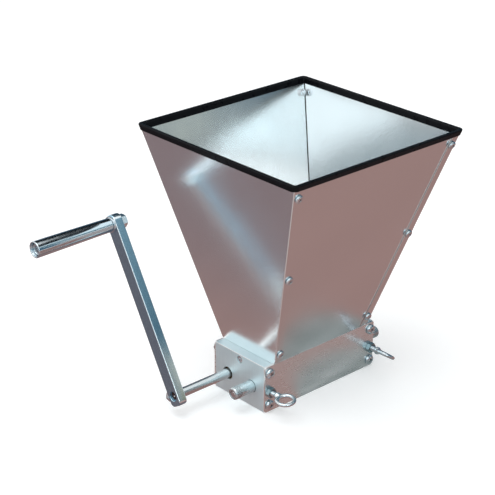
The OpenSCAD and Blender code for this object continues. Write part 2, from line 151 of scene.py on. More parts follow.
def turned(profile, sides=64):
    """A part turned about Z from (radius, height) points, which end on the axis or close up."""
    bm = bmesh.new()
    rings = []
    for radius, height in profile:
        turns = [math.tau * side / sides for side in range(sides if radius else 1)]
        ring = [bm.verts.new((radius * math.cos(a), radius * math.sin(a), height)) for a in turns]
        rings.append(ring)
    pairs = list(zip(rings, rings[1:]))
    if len(rings[0]) > 1 and len(rings[-1]) > 1:
        pairs.append((rings[-1], rings[0]))
    for low, high in pairs:
        for side in range(sides):
            corners = [
                low[side % len(low)], low[(side + 1) % len(low)],
                high[(side + 1) % len(high)], high[side % len(high)],
            ]
            if len(low) + len(high) > 2:
                bm.faces.new(dict.fromkeys(corners))
    return to_mesh(bm)


def rod(radius, low, high, edge):
    """A solid rod about Z with chamfered ends."""
    return turned([(0, low), (radius - edge, low), (radius, low + edge),
                   (radius, high - edge), (radius - edge, high), (0, high)])


def drill(radius, low, high, break_edge=0.3 * mm):
    """The shape that a drilled and countersunk hole between two faces takes away."""
    wide, past = radius + 2 * break_edge, break_edge
    return turned([(0, low - past), (wide, low - past), (radius, low + break_edge),
                   (radius, high - break_edge), (wide, high + past), (0, high + past)])


def seat(place, out, up=(0, 0, 1)):
    """Where a part goes: its Z axis points along out, and its Y axis towards up."""
    z = Vector(out).normalized()
    x = Vector(up).cross(z).normalized()
    return Matrix.Translation(place) @ Matrix((x, z.cross(x), z)).transposed().to_4x4()


def moved(mesh, matrix):
    """A copy of a mesh in its place."""
    copy = mesh.copy()
    copy.transform(matrix)
    if matrix.determinant() < 0:
        copy.flip_normals()
    return copy


def mirrored(mesh, side):
    """A copy of a right hand part, mirrored to the left where side is -1."""
    return moved(mesh, Matrix.Diagonal((side, 1, 1, 1)))


def carved(mesh, tool, operation="DIFFERENCE"):
    """A mesh with the tool's shape taken out of it, or with only what lies inside the tool."""
    work, cutter = placed("work", mesh), placed("cutter", tool)
    cut = work.modifiers.new("cut", "BOOLEAN")
    cut.object, cut.operation, cut.solver = cutter, operation, "EXACT"
    result = settled(work)
    bpy.data.objects.remove(cutter)
    return result


def piece(name, meshes, finish, slot, body, *replaced, sharp=32):
    """Joins meshes into one visible piece that rides on a body in place of CAD nodes."""
    bm = bmesh.new()
    for part in meshes:
        bm.from_mesh(part)
    mesh = bpy.data.meshes.new(name)
    bm.to_mesh(mesh)
    bm.free()
    mesh.materials.append(finish.material)
    mesh.shade_smooth()
    mesh.set_sharp_from_angle(angle=math.radians(sharp))
    made = placed(name, mesh)
    normals = made.modifiers.new("normals", "WEIGHTED_NORMAL")
    normals.weight = 100
    normals.keep_sharp = True
    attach(made, body)
    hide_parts(*replaced)


class Grade:
    """A value that varies over a surface. Sums on it add the Math nodes that work them out."""

    def __init__(self, graph, socket):
        self.graph = graph
        self.socket = socket

    def maths(self, operation, first, second):
        return self.graph.node("Math", {"operation": operation}, {0: first, 1: second})

    def __add__(self, other):
        return self.maths("ADD", self, other)

    __radd__ = __add__

    def __sub__(self, other):
        return self.maths("SUBTRACT", self, other)

    def __rsub__(self, other):
        return self.maths("SUBTRACT", other, self)

    def __mul__(self, other):
        return self.maths("MULTIPLY", self, other)

    __rmul__ = __mul__

    def __abs__(self):
        return self.maths("ABSOLUTE", self, 0.0)


class Graph:
    """The nodes of a material or of the world."""

    def __init__(self, tree):
        self.tree = tree

    def node(self, kind, settings, sockets, output=0):
        """Adds a node, sets it up, feeds its sockets and gives one of its outputs."""
        node = self.tree.nodes.new("ShaderNode" + kind)
        for name, value in settings.items():
            setattr(node, name, value)
        for name, value in sockets.items():
            self.feed(node.inputs[name], value)
        return Grade(self, node.outputs[output])

    def feed(self, socket, value):
        """Links a varying value to a socket, or sets the socket to a plain one."""
        if isinstance(value, Grade):
            self.tree.links.new(value.socket, socket)
        else:
            socket.default_value = value


class Finish(Graph):
    """A surface finish: a material whose nodes are added by the calls below."""

    def __init__(self, name, metallic=1.0):
        self.material = bpy.data.materials.new(name)
        self.material.use_nodes = True
        super().__init__(self.material.node_tree)
        self.shader = self.tree.nodes["Principled BSDF"]
        self.shader.inputs["Metallic"].default_value = metallic
        self.place = self.node("TexCoord", {}, {}, "Object")

    def along(self, axis, vector=None):
        """One coordinate of the place on the mill, or of another vector."""
        return self.node("SeparateXYZ", {}, {0: vector or self.place}, axis)

    def reach(self, way):
        """How far a place lies out from the origin along a direction."""
        return self.node("VectorMath", {"operation": "DOT_PRODUCT"}, {0: self.place, 1: way}, "Value")

    def mark(self, name):
        """A number that the mesh carries at each of its vertices."""
        return self.node("Attribute", {"attribute_name": name}, {}, "Fac")

    def grain(self, x, y=None, z=None, detail=2.0):
        """Noise from 0 to 1 whose grains have the given size along each axis, or one size."""
        fineness = (1 / x, 1 / (y or x), 1 / (z or x))
        scaled = self.node("VectorMath", {"operation": "MULTIPLY"}, {0: self.place, 1: fineness})
        return self.node("TexNoise", {}, {"Vector": scaled, "Scale": 1.0, "Detail": detail})

    def mask(self, value, low, high):
        """0 below low, 1 above high and a smooth step between."""
        return self.node("MapRange", {"interpolation_type": "SMOOTHSTEP"},
                         {"Value": value, "From Min": low, "From Max": high})

    def between(self, value, start, low, high, end):
        """1 from low to high, and 0 below start and above end."""
        return self.mask(value, start, low) * (1 - self.mask(value, high, end))

    def blend(self, mask, first, second):
        """One colour where the mask is 0 and the other where it is 1."""
        colours = [(*c, 1.0) if isinstance(c, tuple) else c for c in (first, second)]
        return self.node("Mix", {"data_type": "RGBA"}, {0: mask, 6: colours[0], 7: colours[1]}, 2)

    def wear(self, colour, roughness, relief):
        """Connects a colour, a roughness and a relief in metres to the shader."""
        self.feed(self.shader.inputs["Base Color"], colour)
        self.feed(self.shader.inputs["Roughness"], roughness)
        bump = self.node("Bump", {}, {"Strength": 1.0, "Distance": 1.0, "Height": relief}, "Normal")
        self.feed(self.shader.inputs["Normal"], bump)


def coat(finish, *names):
    """Gives a finish to frame solids that stay in view."""
    for name in names:
        nodes[name].material_slots[0].material = finish.material


block_low, block_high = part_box("right_end_block")
block_edge = 0.4 * mm

milled = Finish("satin_milled_aluminium", metallic=0.7)
facing = milled.node("TexCoord", {}, {}, "Normal")
upward = milled.mask(milled.along(2, facing), 0.7, 0.9)
upright_lines = milled.grain(0.8 * mm, 0.8 * mm, 50 * mm, 3)
level_lines = milled.grain(0.8 * mm, 50 * mm, 0.8 * mm, 3)
cutter_lines = upward * level_lines + (1 - upward) * upright_lines
handling = milled.grain(22 * mm, 22 * mm, 14 * mm)
# Painted highlight: the colour turns near white within a bevel's width of every edge of the blocks.
near_face = []
for axis, face in enumerate(block_high):
    inward = face - abs(milled.along(axis))
    near_face.append(1 - milled.mask(inward, block_edge, 1.3 * block_edge))
edges = near_face[0] * (near_face[1] + near_face[2]) + near_face[1] * near_face[2]
satin = milled.blend(0.4 * handling + 0.6 * cutter_lines, (0.58, 0.73, 0.80), (0.84, 0.98, 1.0))
milled.wear(
    milled.blend(edges, satin, (0.97, 0.98, 0.98)),
    0.34 + 0.08 * handling + 0.14 * cutter_lines,
    8e-6 * cutter_lines,
)

bush_low, bush_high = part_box("drive_bush_right")
drive_axis = (bush_low + bush_high) / 2
adjuster_low, adjuster_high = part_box("adjuster_right")
adjuster_axis = (adjuster_low + adjuster_high) / 2
adjuster_bore = 6.85 * mm
tab_screw_low, tab_screw_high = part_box("hopper_fixing_screws")
tab_screw = Vector((0, 0, (tab_screw_low.z + tab_screw_high.z) / 2))
tab_recess = 5 * mm
tab_recess_r = 4 * mm
tab_hole_r = 2.15 * mm

for side, side_name in ((-1, "left"), (1, "right")):
    outline = oblong(block_low.y, block_low.z, block_high.y, block_high.z)
    block = slab([outline], block_low.x, block_high.x, block_edge)
    inner, outer = block_low.x, block_high.x
    for axis, radius, low in (
        (drive_axis, (bush_high.z - bush_low.z) / 2, inner),
        (adjuster_axis, adjuster_bore, inner),
        (tab_screw, tab_hole_r, inner),
        (tab_screw, tab_recess_r, outer - tab_recess),
    ):
        hole = drill(radius, low, outer)
        block = carved(block, moved(hole, Matrix.Translation((axis.y, axis.z, 0))))
    block = mirrored(moved(block, seat((0, 0, 0), (1, 0, 0))), side)
    piece(f"{side_name}_milled_block", [block], milled, "block_aluminium", "mill_body",
          f"{side_name}_end_block")


# Bushes. Plain bearings of oiled sintered bronze, pressed in from the inside, 3 mm short of the
# outer face, so that a dark ring shows round the shaft. Their frame solids stay.
bronze = Finish("oiled_sintered_bronze")
pores = bronze.grain(0.4 * mm)
oil = bronze.grain(5 * mm)
bronze.wear(
    bronze.blend(bronze.mask(pores, 0.35, 0.6), (0.05, 0.035, 0.02), (0.20, 0.13, 0.06)),
    0.36 + 0.2 * oil,
    6e-6 * pores,
)
coat(bronze, "drive_bush_left", "drive_bush_right")


# Rollers. Hardened steel, turned in one piece with their shafts and diamond knurled, bright on the
# points and with painted shade in the grooves. The drive roller's shaft runs out to the crank
# through the left block, and its end face is painted dark as shade. The idle roller's journals run
# in the adjusters.
roller_low, roller_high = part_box("idle_roller")
washer_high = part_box("drive_washers")[1]
drive_low, drive_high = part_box("drive_roller")
roller_r = (drive_high.z - drive_low.z) / 2
washer_room = 1.15 * mm
roller_end = washer_high.x - washer_room
shaft_r = 5 * mm
journal_r = 4 * mm
knurl_pitch = 3 * mm
knurl_depth = 0.8 * mm
end_chamfer = 0.8 * mm
centre_r = 1.6 * mm
centre_depth = 1.4 * mm
journal_reach = 2.3 * mm


def skin(radius_at, low, high, rows, sides):
    """A closed body about Z whose radius is a function of the turn, from 0 to 1, and height."""
    bm = bmesh.new()
    depth = bm.verts.layers.float.new("groove")
    rings = []
    for row in range(rows + 1):
        height = low + (high - low) * row / rows
        ring = []
        for side in range(sides):
            radius, groove = radius_at(side / sides, height)
            a = math.tau * side / sides
            vert = bm.verts.new((radius * math.cos(a), radius * math.sin(a), height))
            vert[depth] = groove
            ring.append(vert)
        rings.append(ring)
    for lower, upper in zip(rings, rings[1:]):
        bridge(bm, lower, upper)
    bm.faces.new(rings[0][::-1])
    bm.faces.new(rings[-1])
    return to_mesh(bm)


def ridge(phase):
    """1 in the middle of each tooth and 0 in the groove beside it."""
    return 1 - abs(2 * (phase % 1) - 1)


def knurl(radius, low, high, pitch, depth, chamfer, samples=4):
    """A diamond knurled drum with chamfered ends."""
    teeth = round(math.tau * radius / pitch)

    def radius_at(turn, height):
        around, along = turn * teeth, height / pitch
        groove = 1 - min(ridge(around + along), ridge(around - along))
        left = min(height - low, high - height)
        shoulder = min(0.0, left - chamfer)
        return min(radius - depth * groove, radius + shoulder), groove

    return skin(radius_at, low, high, samples * round((high - low) / pitch), samples * teeth)


knurled = Finish("knurled_roller_steel")
groove = knurled.mark("groove")
dust = knurled.grain(6 * mm)
turning = knurled.grain(0.3 * mm, 30 * mm, 30 * mm)
# Painted shade: the knurl's grooves, as the mesh's groove mark gives them, are coloured near black.
teeth = knurled.blend(knurled.mask(groove, 0.45, 0.95), (0.72, 0.73, 0.73), (0.05, 0.05, 0.045))
# Painted shade: the end face of the drive shaft is coloured dark brown.
from_end = knurled.along(0) - drive_low.x
painted_end_shade = knurled.mask(from_end, 0.3 * mm, 0.1 * mm)
knurled.wear(
    knurled.blend(painted_end_shade, teeth, (0.10, 0.08, 0.07)),
    0.20 + 0.06 * dust + 0.04 * turning,
    8e-7 * turning,
)

drum = knurl(roller_r, -roller_end, roller_end, knurl_pitch, knurl_depth, end_chamfer)
drive_shaft = rod(shaft_r, drive_low.x, drive_high.x, end_chamfer)
centre_profile = [(0, -centre_depth), (centre_r, 0.4 * mm), (centre_r, 1 * mm), (0, 1 * mm)]
centre_mark = turned(centre_profile, 32)
centre_place = Matrix.Translation((0, 0, drive_low.x)) @ Matrix.Rotation(math.pi, 4, "X")
drive_shaft = carved(drive_shaft, moved(centre_mark, centre_place))
along_x = (1, 0, 0)
on_drive = seat((0, drive_axis.y, drive_axis.z), along_x)
piece("knurled_drive_roller", [moved(drum, on_drive), moved(drive_shaft, on_drive)],
      knurled, "roller_steel", "crank", "drive_roller")

idle_axis = (roller_low + roller_high) / 2
on_idle = seat((0, idle_axis.y, idle_axis.z), along_x)
journal_end = roller_high.x + journal_reach
journals = rod(journal_r, -journal_end, journal_end, end_chamfer)
piece("knurled_idle_roller", [moved(drum, on_idle), moved(journals, on_idle)],
      knurled, "roller_steel", "idle", "idle_roller")


# Thrust washers. Natural acetal, 1 mm thick, one at each end of each roller, loose on the shaft.
# They are frame solids with their own finish.
acetal = Finish("natural_acetal", metallic=0.0)
flour = acetal.grain(3 * mm)
acetal.wear(
    acetal.blend(flour, (0.74, 0.72, 0.64), (0.84, 0.83, 0.78)),
    0.38 + 0.2 * flour,
    4e-6 * acetal.grain(0.4 * mm),
)
coat(acetal, "drive_washers", "idle_washers")


# Adjusters. Two eccentric steel bearings, turned from bar. A smooth barrel runs in the end block,
# and the head outside it has a fine diamond knurl, a domed end and a shallow dish. The idle
# roller's journal shows at the bottom of the bore, which is 1 mm off the barrel's axis.
barrel_r = 6.5 * mm
head_r = (adjuster_high.z - adjuster_low.z) / 2
knurl_len = 8.5 * mm
head_dome = 1.2 * mm
fine_pitch = 1.0 * mm
fine_depth = 0.22 * mm
dish_r = 4.95 * mm
dish_depth = 0.5 * mm
dish_edge = 0.15 * mm
overlap = 1 * mm
journal_bore = 4.05 * mm

turned_steel = Finish("turned_bright_steel")
feed_lines = turned_steel.grain(0.35 * mm, 40 * mm, 40 * mm)
clouds = turned_steel.grain(4 * mm)
fine_groove = turned_steel.mark("groove")
bright = turned_steel.blend(clouds, (0.62, 0.68, 0.69), (0.72, 0.76, 0.78))
# Painted shade: the grooves of the fine knurl are coloured dark grey.
turned_steel.wear(
    turned_steel.blend(turned_steel.mask(fine_groove, 0.5, 1.0), bright, (0.26, 0.30, 0.31)),
    0.17 + 0.12 * clouds + 0.06 * feed_lines,
    1.2e-6 * feed_lines,
)

head_start = adjuster_high.x - knurl_len
head_bevel = adjuster_high.x - head_dome
barrel = rod(barrel_r, adjuster_low.x, head_start + overlap, 0.3 * mm)
head = knurl(head_r, head_start, head_bevel, fine_pitch, fine_depth, 0.5 * mm, samples=5)
end_profile = [
    (0, head_bevel - overlap), (head_r - fine_depth, head_bevel - overlap),
    (head_r - fine_depth, head_bevel),
    (head_r - head_dome, adjuster_high.x - 0.1 * mm),
    (dish_r + dish_edge, adjuster_high.x),
    (dish_r, adjuster_high.x - dish_edge), (dish_r, adjuster_high.x - dish_depth),
    (0, adjuster_high.x - dish_depth),
]
end_profile[2:4] = eased(end_profile[1:5], 1.1 * mm, steps=4, closed=False)[1:-1]
dome = turned(end_profile, 96)
off_centre = Matrix.Translation((0, idle_axis.z - adjuster_axis.z, 0))
bore = rod(journal_bore, adjuster_low.x - overlap, adjuster_high.x + overlap, 0.1 * mm)
bore = moved(bore, off_centre)
on_adjuster = seat((0, adjuster_axis.y, adjuster_axis.z), along_x)
adjuster_parts = [moved(carved(part, bore), on_adjuster) for part in (barrel, head, dome)]
for side, side_name, body in ((-1, "left", "adjuster_a"), (1, "right", "adjuster_b")):
    piece(f"{side_name}_knurled_adjuster", [mirrored(part, side) for part in adjuster_parts],
          turned_steel, "adjuster_steel", body, f"adjuster_{side_name}")


# Plates. Two pieces of 2 mm stainless plate with small round corners, ground lengthwise, screwed
# across the ends of the blocks. The front one is also drilled for the eye bolts.
ground = Finish("ground_stainless_plate", metallic=0.92)
grinding = ground.grain(45 * mm, 0.6 * mm, 0.45 * mm, 3)
speckle = ground.grain(9 * mm, 1.5 * mm, 1.5 * mm)
fingerprints = ground.grain(26 * mm, 26 * mm, 18 * mm)
ground.wear(
    ground.blend(speckle, (0.84, 0.86, 0.86), (0.89, 0.90, 0.90)),
    0.20 + 0.04 * speckle + 0.10 * fingerprints,
    4e-7 * grinding + 3e-5 * fingerprints,
)

plate_low, plate_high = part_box("front_plate")
plate_t = plate_high.y - plate_low.y
plate_corner = 2.5 * mm
plate_edge = 0.3 * mm
screw_inset = 8 * mm
screw_x = (block_low.x + block_high.x) / 2
screw_zs = [screw_inset, plate_high.z - screw_inset]
plate_hole_r = 2.65 * mm
eye_hole_r = 3.15 * mm
border = eased(oblong(plate_low.x, plate_low.z, plate_high.x, plate_high.z), plate_corner, 6)
screw_holes = [circle(x, z, plate_hole_r, 32) for x in (-screw_x, screw_x) for z in screw_zs]
eye_holes = [circle(x, adjuster_axis.z, eye_hole_r, 32) for x in (-screw_x, screw_x)]
for way, name, holes in ((-1, "front", screw_holes + eye_holes), (1, "back", screw_holes)):
    plate = slab([border] + holes, -plate_t, 0, plate_edge)
    plate = moved(plate, seat((0, -plate_low.y * way, 0), (0, way, 0)))
    piece(f"{name}_ground_plate", [plate], ground, "plate_steel", "mill_body", f"{name}_plate")


# Plate screws. Eight M5 pan head screws of bright zinc plated steel, driven into the ends of the
# blocks. A head carries painted shade: blue-grey round its low rim and nearly black in its cross
# recess.
zinc = Finish("bright_zinc_plating")
plating = zinc.grain(1.6 * mm)
film = zinc.grain(6 * mm)
# Painted shade: the mesh's shade mark is 0.5 on a head's low rim and 1 in its cross recess.
shade = zinc.mark("shade")
unshaded_zinc = zinc.blend(film, (0.70, 0.77, 0.79), (0.84, 0.86, 0.90))
shaded = zinc.blend(zinc.mask(shade, 0.1, 0.4), unshaded_zinc, (0.22, 0.34, 0.39))
zinc.wear(
    zinc.blend(zinc.mask(shade, 0.6, 0.9), shaded, (0.02, 0.025, 0.03)),
    0.14 + 0.14 * plating,
    1.5e-6 * plating,
)


def wedge(length, width, depth):
    """One bar of a cross recess, narrower at the bottom."""
    bm = bmesh.new()
    rings = []
    for share, z in ((0.55, -depth), (1.0, 0.0), (1.06, 0.12 * depth)):
        x, y = length * share / 2, width * (0.6 + 0.4 * share) / 2
        rings.append([bm.verts.new((*corner, z)) for corner in oblong(-x, -y, x, y)])
    for lower, upper in zip(rings, rings[1:]):
        bridge(bm, lower, upper)
    bm.faces.new(rings[0])
    bm.faces.new(rings[-1])
    return to_mesh(bm)


def pan_head(size):
    """A pan head of a screw of that size, standing on Z = 0, with its cross recess."""
    radius, height, rim = 1.08 * size, 0.78 * size, 0.32 * size
    bar = wedge(1.02 * size, 0.2 * size, 0.42 * size)
    edge = 0.1 * mm
    dome = [(radius * math.sin(a), rim + (height - rim) * math.cos(a))
            for a in (math.radians(step) for step in range(0, 91, 10))]
    head = turned([(0, 0), (radius - edge, 0), (radius, edge)] + dome[::-1], 48)
    for turn in (25, 115):
        place = Matrix.Translation((0, 0, height)) @ Matrix.Rotation(math.radians(turn), 4, "Z")
        head = carved(head, moved(bar, place))
    # Painted shade: the shade mark is 0.5 on the low rim and 1 in the cross recess.
    shade = head.attributes.new("shade", "FLOAT", "POINT")
    for vert, mark in zip(head.vertices, shade.data):
        x, y, z = vert.co
        sunk = math.hypot(x, y) < 0.6 * size and z < height - 0.15 * size
        mark.value = 1.0 if sunk else 0.5 * (z < rim - 0.01 * mm)
    return head


plate_screw = 5 * mm
plate_screw_len = 14 * mm
plate_head = pan_head(plate_screw)
plate_shank = rod(plate_screw / 2, -plate_screw_len, 0.5 * mm, 0.6 * mm)
screws = []
for way in (-1, 1):
    for x in (-screw_x, screw_x):
        for z in screw_zs:
            place = seat((x, -plate_low.y * way, z), (0, way, 0))
            screws += [moved(plate_head, place), moved(plate_shank, place)]
piece("zinc_plate_screws", screws, zinc, "zinc", "mill_body", "plate_screws")


# Eye bolts. Two M6 eye bolts of zinc plated steel, forged: the ring is thicker at the neck than at
# its far side and runs smoothly into the collar. Their tips press on the adjusters and hold them.
eye_low, eye_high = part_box("eye_bolt_left")
eye_size = 6 * mm
eye_pitch = 1 * mm
eye_out_r = 11.2 * mm
eye_y = eye_low.y + eye_out_r
wire_r = 2.2 * mm
wire_taper = 0.3 * mm
collar_r = 4.3 * mm


def threaded(size, pitch, low, high, sides=32, samples=7):
    """A screw thread about Z with chamfered ends."""
    depth = 0.55 * pitch

    def radius_at(turn, height):
        tooth = min(1.0, 1.3 * ridge(height / pitch - turn))
        left = min(height - low, high - height)
        shoulder = min(0.0, left - 0.7 * depth)
        return min(size / 2 - depth * (1 - tooth), size / 2 + shoulder), 1 - tooth

    return skin(radius_at, low, high, samples * math.ceil((high - low) / pitch), sides)


def forged_eye():
    """Ring and collar about Y = 0, grown together, with the shank's axis along +Z."""
    bm = bmesh.new()
    around, across = 72, 24
    rings = []
    for i in range(around):
        a = math.tau * i / around
        wire = wire_r + wire_taper * math.cos(a)
        ring = []
        for j in range(across):
            b = math.tau * j / across
            reach = eye_out_r - wire + wire * math.cos(b)
            spot = (reach * math.sin(a), wire * math.sin(b), reach * math.cos(a))
            ring.append(bm.verts.new(spot))
        rings.append(ring)
    for here, there in zip(rings, rings[1:] + rings[:1]):
        bridge(bm, here, there)
    start = eye_out_r - 2.6 * mm
    neck = [(0, start), (3.2 * mm, start), (3.9 * mm, start + 1.6 * mm), (collar_r, start + 3 * mm),
            (collar_r - 0.2 * mm, start + 4 * mm), (3.1 * mm, start + 5 * mm),
            (2.9 * mm, start + 6.5 * mm), (0, start + 6.5 * mm)]
    bm.from_mesh(turned(neck, 32))
    grown = placed("grown", to_mesh(bm))
    remesh = grown.modifiers.new("remesh", "REMESH")
    remesh.mode, remesh.voxel_size = "VOXEL", 0.28 * mm
    soften = grown.modifiers.new("soften", "SMOOTH")
    soften.factor, soften.iterations = 0.5, 12
    return settled(grown)


forging = forged_eye()
shank_start = eye_out_r + 3.2 * mm
shank = threaded(eye_size, eye_pitch, shank_start, eye_high.y - eye_y)
for side, side_name, turn, body in ((-1, "left", -4, "eye_bolt_a"), (1, "right", 35, "eye_bolt_b")):
    centre = (side * screw_x, eye_y, adjuster_axis.z)
    a = math.radians(turn)
    lean = (math.sin(a), 0, math.cos(a))
    place = seat(centre, (0, 1, 0), lean)
    piece(f"{side_name}_forged_eye_bolt", [moved(forging, place), moved(shank, place)],
          zinc, "zinc", body, f"eye_bolt_{side_name}")


# Lock nuts. A steel M6 nut on each eye bolt, run down against the front plate. Its corners are
# chamfered at both faces and its bore is countersunk. Its zinc is painted darker and blue-green, as
# a painted reflection of a dark room.
lock_low, lock_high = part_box("lock_nut_left")
lock_across = 10 * mm
painted_reflection_zinc = Finish("zinc_with_painted_dark_reflection")
# Painted reflection: the whole nut is coloured a dark blue-green.
haze = painted_reflection_zinc.grain(2.5 * mm)
painted_reflection_zinc.wear(
    painted_reflection_zinc.blend(haze, (0.20, 0.31, 0.35), (0.40, 0.52, 0.56)),
    0.12 + 0.12 * haze,
    1.5e-6 * haze,
)


def hexagon(across):
    """A hexagonal outline of that size across its flats."""
    return circle(0, 0, across / math.sqrt(3), 6)


def nut(across, height, size, one_face=False):
    """A hexagon nut standing on Z = 0, or with size 0 a hexagon head."""
    corner = across / math.sqrt(3)
    past_corner = corner * 1.001
    drop = 0.6 * (corner - across / 2)
    inner = across / 2 * 0.97
    low = corner if one_face else inner
    shape = turned([(0, 0), (low, 0), (past_corner, drop), (past_corner, height - drop),
                    (inner, height), (0, height)], 96)
    body = carved(slab([hexagon(across)], 0, height, 0.05 * mm), shape, "INTERSECT")
    if size:
        body = carved(body, drill(size / 2, 0, height, 0.35 * mm))
    return body


lock_t = lock_high.y - lock_low.y
for side, side_name, body in ((-1, "left", "lock_nut_a"), (1, "right", "lock_nut_b")):
    place = seat((side * screw_x, lock_high.y, adjuster_axis.z), (0, -1, 0))
    piece(f"{side_name}_zinc_lock_nut", [moved(nut(lock_across, lock_t, eye_size), place)],
          painted_reflection_zinc, "zinc", body, f"lock_nut_{side_name}")


# Hopper sheets. Four pieces of 1 mm stainless sheet. The two side panels are folded over the front
# and back panels with 10 mm flanges and have a tab that goes down inside the end block. The sheet
# has a fine rolled grain, is a little wavy, and was wiped up and down on the inside.
sheet_low, sheet_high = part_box("hopper_left_panel")
flat_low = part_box("hopper_front_panel")[0]
sheet_t = 1 * mm
flange = 10 * mm
fold_r = 1.3 * mm
foot_z = block_high.z
flange_gap = 1.5 * mm
flange_foot_z = foot_z + flange_gap
top_z = sheet_high.z
side_foot_x = block_low.x
foot_inset = 0.2 * mm
front_foot_y = -plate_low.y - foot_inset
side_slope = (-sheet_low.x - side_foot_x) / (top_z - foot_z)
front_slope = (-flat_low.y - front_foot_y) / (top_z - foot_z)
side_lean, front_lean = math.atan(side_slope), math.atan(front_slope)
web_t = sheet_t / math.cos(side_lean)
flange_t = sheet_t / math.cos(front_lean)
tab_half = 25 * mm
tab_foot_z = sheet_low.z
seam_gap = 0.9 * mm
seam = web_t + seam_gap

rolled = Finish("rolled_stainless_sheet")
skin_grain = rolled.grain(1.1 * mm, 1.1 * mm, 1.6 * mm, 3)
wiping = rolled.grain(0.9 * mm, 0.9 * mm, 60 * mm, 3)
smears = rolled.grain(30 * mm, 30 * mm, 45 * mm)
waves = rolled.grain(75 * mm, 75 * mm, 110 * mm, 0)
x, y, z = (rolled.along(axis) for axis in range(3))
from_side = side_foot_x + side_slope * (z - foot_z) - abs(x)
from_flat = front_foot_y + front_slope * (z - foot_z) - abs(y)
# Painted shade: dark lines along the seams, at the flat panels' side edges inside the folds and on
# their outer faces just past each flange's edge.
inner_seam_shade = rolled.between(from_side, web_t, web_t + 0.05 * mm, seam, seam + 0.15 * mm)
inner_seam_shade *= rolled.mask(from_flat, -0.4 * mm, -0.2 * mm)
past_flange = from_side - flange
outer_seam_shade = rolled.between(past_flange, 0.03 * mm, 0.06 * mm, 0.4 * mm, 0.6 * mm)
outer_seam_shade *= 1 - rolled.mask(from_flat, 0.2 * mm, 0.4 * mm)
sheen = rolled.blend(0.6 * skin_grain + 0.4 * wiping, (0.82, 0.85, 0.86), (0.96, 0.985, 0.99))
rolled.wear(
    rolled.blend(inner_seam_shade + outer_seam_shade, sheen, (0.12, 0.14, 0.15)),
    0.13 + 0.08 * skin_grain + 0.09 * smears,
    8e-4 * waves + 2.5e-6 * skin_grain + 1.5e-6 * wiping,
)


def side_x(z):
    """Half the hopper's width outside at a height."""
    return side_foot_x + (z - foot_z) * side_slope


def front_y(z):
    """Half the depth over the outsides of the front and back panels at a height."""
    return front_foot_y + (z - foot_z) * front_slope


def section(z):
    """The outer and inner lines of a side panel with its flanges, at a height."""
    x, y = side_x(z), front_y(z) + flange_t
    lines = []
    for t_x, t_y, radius in ((0, 0, fold_r), (web_t, flange_t, fold_r - sheet_t)):
        edge_x, web_x, flange_y = x - flange, x - t_x, y - t_y
        corners = [(edge_x, -flange_y), (web_x, -flange_y), (web_x, flange_y), (edge_x, flange_y)]
        lines.append([(p[0], p[1], z) for p in eased(corners, radius, steps=5, closed=False)])
    return lines


def strip(sections):
    """Sheet that follows a row of sections, each an outer and an inner line."""
    bm = bmesh.new()
    rows = [[[bm.verts.new(p) for p in line] for line in lines] for lines in sections]
    rings = [outer + inner[::-1] for outer, inner in rows]
    for lower, upper in zip(rings, rings[1:]):
        bridge(bm, lower, upper)
    for outer, inner in (rows[0], rows[-1]):
        for k in range(len(outer) - 1):
            bm.faces.new((outer[k], outer[k + 1], inner[k + 1], inner[k]))
    return to_mesh(bm)


levels = [flange_foot_z + (top_z - flange_foot_z) * step / 8 for step in range(9)]
folded = strip([section(z) for z in levels])
foot_rows = []
for z in (foot_z, flange_foot_z):
    half = front_y(z) + flange_t - fold_r
    foot_rows.append([[(side_x(z) - t, y, z) for y in (-half, half)] for t in (0, web_t)])
foot_strip = strip(foot_rows)
tab = slab([eased(oblong(-tab_half, tab_foot_z, tab_half, foot_z + 0.5 * mm), 2 * mm)],
           side_foot_x - sheet_t, side_foot_x, 0.1 * mm)
tab = moved(tab, seat((0, 0, 0), along_x))
for side, side_name in ((-1, "left"), (1, "right")):
    piece(f"{side_name}_folded_panel", [mirrored(part, side) for part in (folded, foot_strip, tab)],
          rolled, "hopper_steel", "mill_body", f"hopper_{side_name}_panel")

climb = (top_z - foot_z) / math.cos(front_lean)
low_half, top_half = side_x(foot_z) - seam, side_x(top_z) - seam
flat_outline = [(-low_half, 0), (low_half, 0), (top_half, climb), (-top_half, climb)]
for way, name in ((-1, "front"), (1, "back")):
    flat = slab([flat_outline], -sheet_t, 0, 0.12 * mm)
    out = (0, way * math.cos(front_lean), -math.sin(front_lean))
    flat = moved(flat, seat((0, way * front_foot_y, foot_z), out))
    piece(f"{name}_flat_panel", [flat], rolled, "hopper_steel", "mill_body", f"hopper_{name}_panel")


# Hopper screws and nuts. Three M4 pan head screws go through each corner's flange into nuts on the
# inside, where their tips stand out by a turn or two. All are zinc plated.
corner_screw = 4 * mm
corner_in = 6.5 * mm
corner_len = 6.5 * mm
corner_pitch = 0.7 * mm
corner_nut_across = 7 * mm
corner_nut_t = 3.2 * mm
low_screw_z = foot_z + 13 * mm
top_screw_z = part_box("rim_trim")[1].z - 16 * mm
screw_levels = (low_screw_z, (low_screw_z + top_screw_z) / 2, top_screw_z)
corner_head = pan_head(corner_screw)
corner_shank = threaded(corner_screw, corner_pitch, -corner_len, 0.2 * mm, sides=24)
corner_nut = nut(corner_nut_across, corner_nut_t, corner_screw)
heads, nuts = [], []
for side in (-1, 1):
    for way in (-1, 1):
        for z in screw_levels:
            out = Vector((0, way * math.cos(front_lean), -math.sin(front_lean)))
            spot = Vector((side * (side_x(z) - corner_in), way * front_y(z), z))
            on_flange = seat(spot + out * sheet_t, out)
            heads += [moved(corner_head, on_flange), moved(corner_shank, on_flange)]
            nuts.append(moved(corner_nut, seat(spot - out * sheet_t, -out)))
piece("zinc_hopper_screws", heads, zinc, "zinc", "mill_body", "hopper_screws")
piece("zinc_hopper_nuts", nuts, zinc, "zinc", "mill_body", "hopper_nuts")


